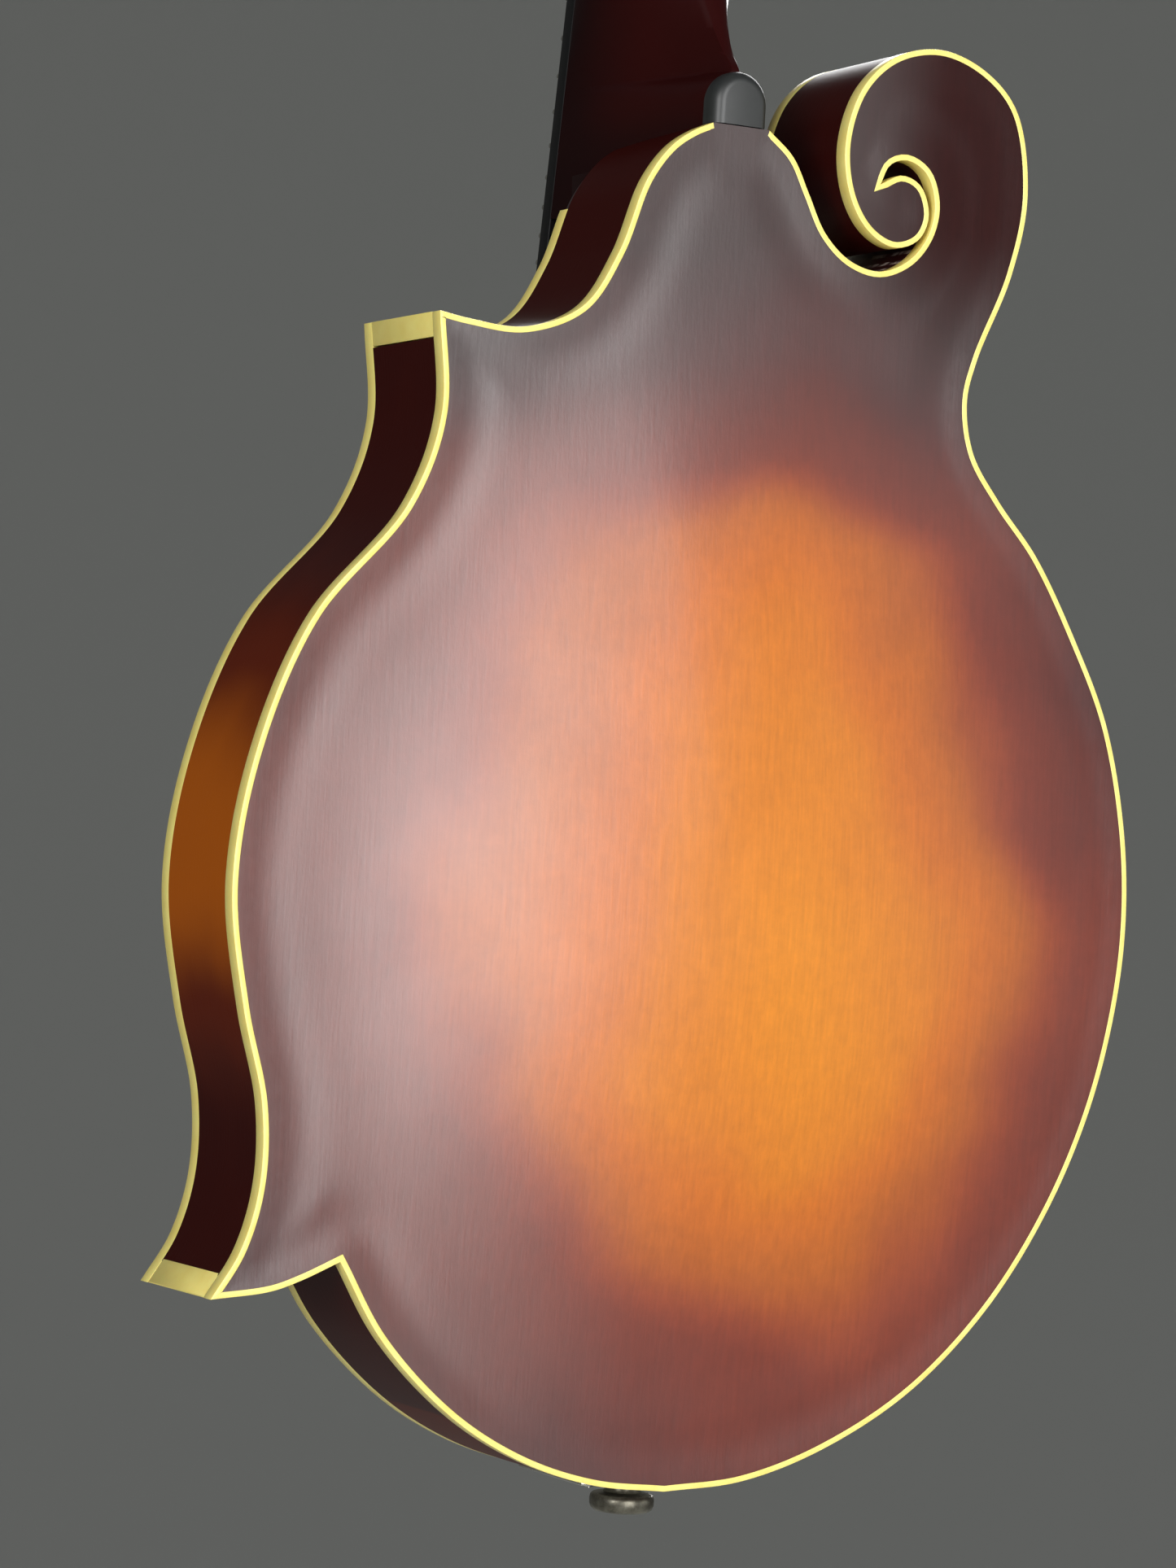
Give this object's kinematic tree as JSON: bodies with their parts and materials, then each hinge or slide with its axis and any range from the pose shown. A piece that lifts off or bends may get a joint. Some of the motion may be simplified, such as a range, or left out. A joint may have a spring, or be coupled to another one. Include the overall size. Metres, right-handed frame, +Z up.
{
  "type": "mandolin",
  "caption": "Carved mandolin with a scroll and two points, arched back and top, paired strings, worm tuners, adjustable bridge, tailpiece with sliding cover, and an end pin.",
  "frame": {"origin": "middle of the neck beside the nut, where a wall hanger's yoke holds the instrument under its head", "axes": "+Z up along the body to the nut, -Y out of the strings' side, +X towards the treble side with the points"},
  "size_m": [0.2543, 0.0937, 0.7023],
  "materials": {
    "sunburst_plate": "satin lacquer, amber to dark brown burst",
    "shaded_rib": "satin lacquer, brown to black",
    "dark_neck": "satin lacquer, near black",
    "ivoroid": "satin, aged cream",
    "raw_spruce": "bare",
    "ebony": "oiled",
    "black_plastic": "gloss",
    "bone": "polished bone",
    "rod_steel": "bare",
    "nickel": "nickel plate",
    "key_nickel": "nickel plate with a pearloid button",
    "aged_nickel": "dull, tarnished",
    "brass": "turned",
    "string_wire": "plain and bronze-wound wire"
  },
  "bodies": {
    "instrument": {"back_plate": "sunburst_plate", "top_plate": "sunburst_plate", "binding_back": "ivoroid", "binding_top": "ivoroid", "rib_bass": "shaded_rib", "rib_treble_lower": "shaded_rib", "rib_treble_waist": "shaded_rib", "rib_treble_upper": "shaded_rib", "point_cap_upper": "ivoroid", "point_cap_lower": "ivoroid", "lining_back": "raw_spruce", "lining_top": "raw_spruce", "point_block_upper": "raw_spruce", "point_block_lower": "raw_spruce", "tail_block": "raw_spruce", "head_block": "shaded_rib", "tone_bar_bass": "raw_spruce", "tone_bar_treble": "raw_spruce", "neck": "dark_neck", "heel_cap": "dark_neck", "truss_rod": "rod_steel", "fingerboard": "ebony", "nut": "bone", "head_veneer": "ebony", "truss_rod_cover": "black_plastic", "tuner_plate_bass": "nickel", "tuner_plate_treble": "nickel", "bridge_base": "ebony", "bridge_post_bass": "brass", "bridge_post_treble": "brass", "tailpiece_base": "nickel", "end_pin": "aged_nickel", "string_g1": "string_wire", "string_g2": "string_wire", "string_d1": "string_wire", "string_d2": "string_wire", "string_a1": "string_wire", "string_a2": "string_wire", "string_e1": "string_wire", "string_e2": "string_wire"},
    "saddle": {"bridge_saddle": "ebony"},
    "wheel_bass": {"thumbwheel_bass": "brass"},
    "wheel_treble": {"thumbwheel_treble": "brass"},
    "cover": {"tailpiece_cover": "nickel"},
    "key_g1": {"tuner_key_g1": "key_nickel"},
    "post_g1": {"string_post_g1": "nickel"},
    "key_g2": {"tuner_key_g2": "key_nickel"},
    "post_g2": {"string_post_g2": "nickel"},
    "key_d1": {"tuner_key_d1": "key_nickel"},
    "post_d1": {"string_post_d1": "nickel"},
    "key_d2": {"tuner_key_d2": "key_nickel"},
    "post_d2": {"string_post_d2": "nickel"},
    "key_a1": {"tuner_key_a1": "key_nickel"},
    "post_a1": {"string_post_a1": "nickel"},
    "key_a2": {"tuner_key_a2": "key_nickel"},
    "post_a2": {"string_post_a2": "nickel"},
    "key_e1": {"tuner_key_e1": "key_nickel"},
    "post_e1": {"string_post_e1": "nickel"},
    "key_e2": {"tuner_key_e2": "key_nickel"},
    "post_e2": {"string_post_e2": "nickel"}
  },
  "joints": [
    {"name": "saddle_lift", "type": "slide", "parent": "instrument", "child": "saddle", "axis": [0, -1, 0], "range_m": [-0.0007, 0.0007], "deforming": ["string_g1", "string_g2", "string_d1", "string_d2", "string_a1", "string_a2", "string_e1", "string_e2"]},
    {"name": "wheel_bass_turn", "type": "hinge", "parent": "saddle", "child": "wheel_bass", "pos_m": [-0.038, -0.02707, -0.35077], "axis": [0, -1, 0], "range_deg": [-360, 360]},
    {"name": "wheel_treble_turn", "type": "hinge", "parent": "saddle", "child": "wheel_treble", "pos_m": [0.038, -0.02707, -0.35077], "axis": [0, -1, 0], "continuous": true},
    {"name": "cover_slide", "type": "slide", "parent": "instrument", "child": "cover", "axis": [0, 0.0567, -0.9984], "range_m": [0, 0.045]},
    {"name": "key_g1_turn", "type": "hinge", "parent": "instrument", "child": "key_g1", "pos_m": [-0.0175, 0.01755, 0.02482], "axis": [1, 0, 0], "continuous": true},
    {"name": "post_g1_turn", "type": "hinge", "parent": "instrument", "child": "post_g1", "pos_m": [-0.0175, 0.0021, 0.03758], "axis": [0, 0.9483, -0.3173], "continuous": true},
    {"name": "key_g2_turn", "type": "hinge", "parent": "instrument", "child": "key_g2", "pos_m": [-0.0175, 0.02484, 0.04663], "axis": [1, 0, 0], "continuous": true},
    {"name": "post_g2_turn", "type": "hinge", "parent": "instrument", "child": "post_g2", "pos_m": [-0.0175, 0.0094, 0.0594], "axis": [0, 0.9483, -0.3173], "continuous": true},
    {"name": "key_d1_turn", "type": "hinge", "parent": "instrument", "child": "key_d1", "pos_m": [-0.0175, 0.03214, 0.06845], "axis": [1, 0, 0], "continuous": true},
    {"name": "post_d1_turn", "type": "hinge", "parent": "instrument", "child": "post_d1", "pos_m": [-0.0175, 0.01669, 0.08121], "axis": [0, 0.9483, -0.3173], "continuous": true},
    {"name": "key_d2_turn", "type": "hinge", "parent": "instrument", "child": "key_d2", "pos_m": [-0.0175, 0.03944, 0.09026], "axis": [1, 0, 0], "continuous": true},
    {"name": "post_d2_turn", "type": "hinge", "parent": "instrument", "child": "post_d2", "pos_m": [-0.0175, 0.02399, 0.10302], "axis": [0, 0.9483, -0.3173], "continuous": true},
    {"name": "key_a1_turn", "type": "hinge", "parent": "instrument", "child": "key_a1", "pos_m": [0.0175, 0.03944, 0.09026], "axis": [1, 0, 0], "continuous": true},
    {"name": "post_a1_turn", "type": "hinge", "parent": "instrument", "child": "post_a1", "pos_m": [0.0175, 0.02399, 0.10302], "axis": [0, 0.9483, -0.3173], "continuous": true},
    {"name": "key_a2_turn", "type": "hinge", "parent": "instrument", "child": "key_a2", "pos_m": [0.0175, 0.03214, 0.06845], "axis": [1, 0, 0], "continuous": true},
    {"name": "post_a2_turn", "type": "hinge", "parent": "instrument", "child": "post_a2", "pos_m": [0.0175, 0.01669, 0.08121], "axis": [0, 0.9483, -0.3173], "continuous": true},
    {"name": "key_e1_turn", "type": "hinge", "parent": "instrument", "child": "key_e1", "pos_m": [0.0175, 0.02484, 0.04663], "axis": [1, 0, 0], "continuous": true},
    {"name": "post_e1_turn", "type": "hinge", "parent": "instrument", "child": "post_e1", "pos_m": [0.0175, 0.0094, 0.0594], "axis": [0, 0.9483, -0.3173], "continuous": true},
    {"name": "key_e2_turn", "type": "hinge", "parent": "instrument", "child": "key_e2", "pos_m": [0.0175, 0.01755, 0.02482], "axis": [1, 0, 0], "continuous": true},
    {"name": "post_e2_turn", "type": "hinge", "parent": "instrument", "child": "post_e2", "pos_m": [0.0175, 0.0021, 0.03758], "axis": [0, 0.9483, -0.3173], "continuous": true}
  ],
  "couplings": [
    {"joint": "saddle_lift", "follows": "wheel_bass_turn", "m_per_rad": 0.00011141},
    {"joint": "wheel_treble_turn", "follows": "wheel_bass_turn", "ratio": 1},
    {"joint": "post_g1_turn", "follows": "key_g1_turn", "ratio": 0.066667},
    {"joint": "post_g2_turn", "follows": "key_g2_turn", "ratio": 0.066667},
    {"joint": "post_d1_turn", "follows": "key_d1_turn", "ratio": 0.066667},
    {"joint": "post_d2_turn", "follows": "key_d2_turn", "ratio": 0.066667},
    {"joint": "post_a1_turn", "follows": "key_a1_turn", "ratio": 0.066667},
    {"joint": "post_a2_turn", "follows": "key_a2_turn", "ratio": 0.066667},
    {"joint": "post_e1_turn", "follows": "key_e1_turn", "ratio": 0.066667},
    {"joint": "post_e2_turn", "follows": "key_e2_turn", "ratio": 0.066667}
  ]
}
